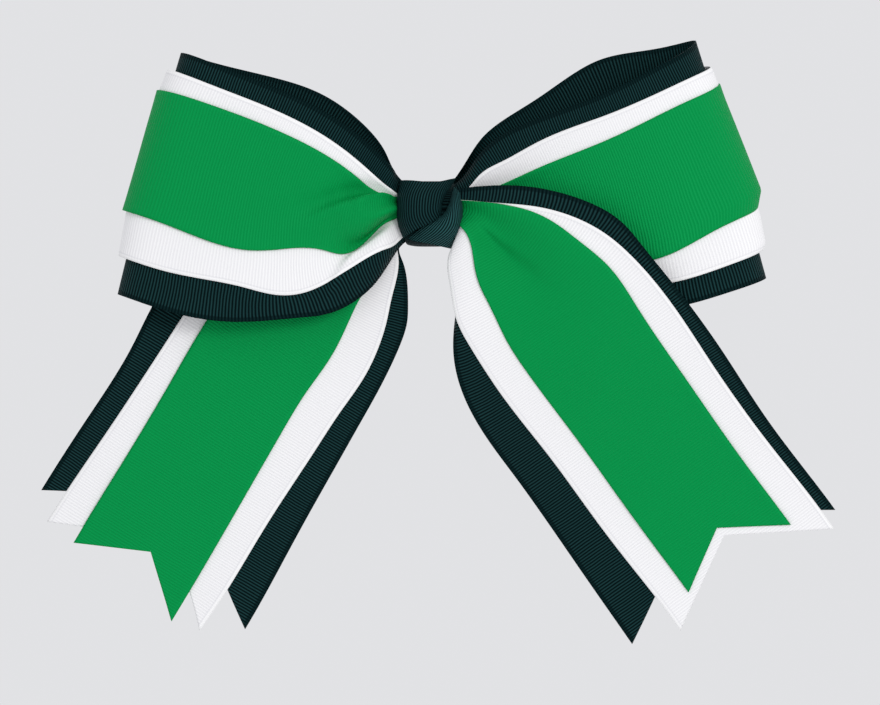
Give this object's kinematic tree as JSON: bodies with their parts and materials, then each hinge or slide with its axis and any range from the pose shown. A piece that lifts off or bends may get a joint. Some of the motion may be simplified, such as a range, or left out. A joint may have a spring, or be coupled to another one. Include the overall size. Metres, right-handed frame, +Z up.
{
  "type": "cheer hair bow",
  "caption": "Large looped cheer hair bow of layered grosgrain ribbon with V-cut tails, a wrapped knot and a French barrette clasp behind.",
  "frame": {"origin": "centre of the clasp arm's flat outer face, which rests on the head", "axes": "+Z up as worn, -Y the way the bow faces, +X to the viewer's right across the loops"},
  "size_m": [0.248, 0.0379, 0.188],
  "materials": {
    "base_grosgrain": "ribbed matt",
    "middle_grosgrain": "ribbed matt",
    "top_grosgrain": "ribbed satin",
    "tie_plastic": "smooth",
    "glue": "waxy",
    "barrette_steel": "bright nickel"
  },
  "bodies": {
    "bow": {"base_ribbon_left_loop": "base_grosgrain", "base_ribbon_right_loop": "base_grosgrain", "middle_ribbon_left_loop": "middle_grosgrain", "middle_ribbon_right_loop": "middle_grosgrain", "top_ribbon_left_loop": "top_grosgrain", "top_ribbon_right_loop": "top_grosgrain", "knot_ribbon": "base_grosgrain", "gather_tie": "tie_plastic", "glue_pad": "glue", "barrette_base_plate": "barrette_steel", "latch_plate": "barrette_steel", "latch_rivet": "barrette_steel", "hinge_pin": "barrette_steel"},
    "left_tail": {"base_ribbon_left_tail": "base_grosgrain", "middle_ribbon_left_tail": "middle_grosgrain", "top_ribbon_left_tail": "top_grosgrain"},
    "right_tail": {"base_ribbon_right_tail": "base_grosgrain", "middle_ribbon_right_tail": "middle_grosgrain", "top_ribbon_right_tail": "top_grosgrain"},
    "arm": {"clasp_arm": "barrette_steel"},
    "bar": {"tension_bar": "barrette_steel"},
    "prong_upper": {"latch_prong_upper": "barrette_steel"},
    "prong_lower": {"latch_prong_lower": "barrette_steel"}
  },
  "joints": [
    {"name": "left_tail_swing", "type": "hinge", "parent": "bow", "child": "left_tail", "pos_m": [-0.0097, -0.0185, 0.0064], "axis": [1, 0, 0], "range_deg": [0, 11], "stiffness_Nm_per_rad": 0.05},
    {"name": "right_tail_swing", "type": "hinge", "parent": "bow", "child": "right_tail", "pos_m": [0.0118, -0.0239, 0.0077], "axis": [-1, 0, 0], "range_deg": [0, 30], "stiffness_Nm_per_rad": 0.05},
    {"name": "clasp_hinge", "type": "hinge", "parent": "bow", "child": "arm", "pos_m": [-0.038, -0.0024, 0], "axis": [0, 0, 1], "range_deg": [0, 75]},
    {"name": "tension_bar_hinge", "type": "hinge", "parent": "bow", "child": "bar", "pos_m": [-0.038, -0.0024, 0], "axis": [0, 0, 1], "range_deg": [0, 34]},
    {"name": "prong_upper_squeeze", "type": "hinge", "parent": "bow", "child": "prong_upper", "pos_m": [0.0375, -0.0033, 0.00145], "axis": [1, 0, 0], "range_deg": [-10, 0], "stiffness_Nm_per_rad": 0.002},
    {"name": "prong_lower_squeeze", "type": "hinge", "parent": "bow", "child": "prong_lower", "pos_m": [0.0375, -0.0033, -0.00145], "axis": [1, 0, 0], "range_deg": [0, 10], "stiffness_Nm_per_rad": 0.002}
  ],
  "couplings": [
    {"joint": "tension_bar_hinge", "follows": "clasp_hinge", "ratio": 0.45}
  ]
}
